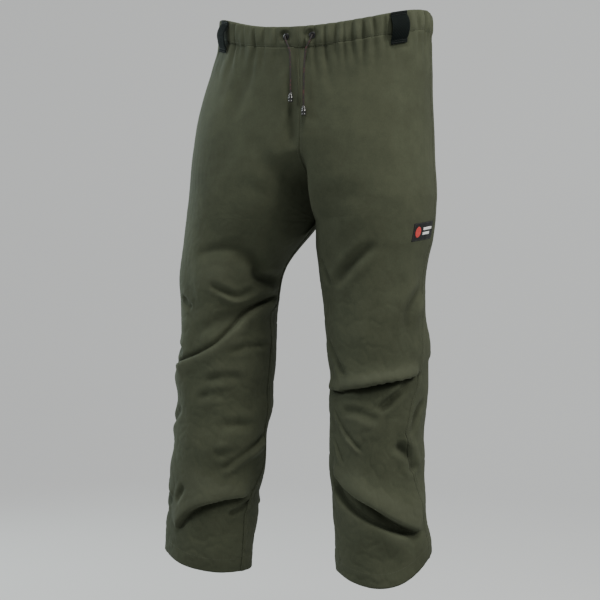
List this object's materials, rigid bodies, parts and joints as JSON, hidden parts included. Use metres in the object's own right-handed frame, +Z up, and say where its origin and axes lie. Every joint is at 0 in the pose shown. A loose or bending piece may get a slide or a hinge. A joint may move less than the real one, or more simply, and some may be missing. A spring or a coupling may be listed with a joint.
{
  "type": "chainsaw protective trousers",
  "caption": "Pull-on protective overtrousers with elasticated drawcord waist, webbing belt loops and cut-resistant layers in the legs.",
  "frame": {"origin": "middle of the waist opening, level with the top of the band at the wearer's sides", "axes": "+Z up along the wearer, -Y to the wearer's front, +X to the wearer's left"},
  "size_m": [0.5264, 0.3229, 1.0335],
  "materials": {
    "cloth": "matt woven twill, olive green",
    "band": "matt woven twill, gathered on elastic",
    "elastic": "woven elastic",
    "cord": "round braid, black with dark red flecks",
    "cord_end": "moulded, glossy black",
    "eyelet": "black enamelled",
    "webbing": "ribbed woven webbing, black",
    "cut_layer": "loose knitted fibre, natural",
    "lining": "fine knitted mesh, dark",
    "thigh_label": "woven label, satin black",
    "care_label": "printed satin tape, blank"
  },
  "bodies": {
    "trousers": {"back_panel_left": "cloth", "back_panel_right": "cloth", "belt_loop_back": "webbing", "belt_loop_left": "webbing", "belt_loop_right": "webbing", "care_label": "care_label", "cut_layer_1_left": "cut_layer", "cut_layer_1_right": "cut_layer", "cut_layer_2_left": "cut_layer", "cut_layer_2_right": "cut_layer", "cut_layer_3_left": "cut_layer", "cut_layer_3_right": "cut_layer", "cut_layer_4_left": "cut_layer", "cut_layer_4_right": "cut_layer", "drawcord_run": "cord", "eyelet_left": "eyelet", "eyelet_right": "eyelet", "eyelet_washer_left": "eyelet", "eyelet_washer_right": "eyelet", "front_panel_left": "cloth", "front_panel_right": "cloth", "lining_left": "lining", "lining_right": "lining", "thigh_label": "thigh_label", "waist_elastic": "elastic", "waistband_left": "band", "waistband_right": "band"},
    "drawcord_left": {"cord_end_left": "cord_end", "cord_end_plug_left": "cord_end", "drawcord_tail_left": "cord"},
    "drawcord_right": {"cord_end_right": "cord_end", "cord_end_plug_right": "cord_end", "drawcord_tail_right": "cord"}
  },
  "joints": [
    {"name": "drawcord_left_swing", "type": "hinge", "parent": "trousers", "child": "drawcord_left", "pos_m": [0.02452, -0.14927, -0.05805], "axis": [-1, 0, 0], "range_deg": [0, 110]},
    {"name": "drawcord_right_swing", "type": "hinge", "parent": "trousers", "child": "drawcord_right", "pos_m": [-0.02452, -0.14927, -0.05805], "axis": [-1, 0, 0], "range_deg": [0, 110]}
  ]
}
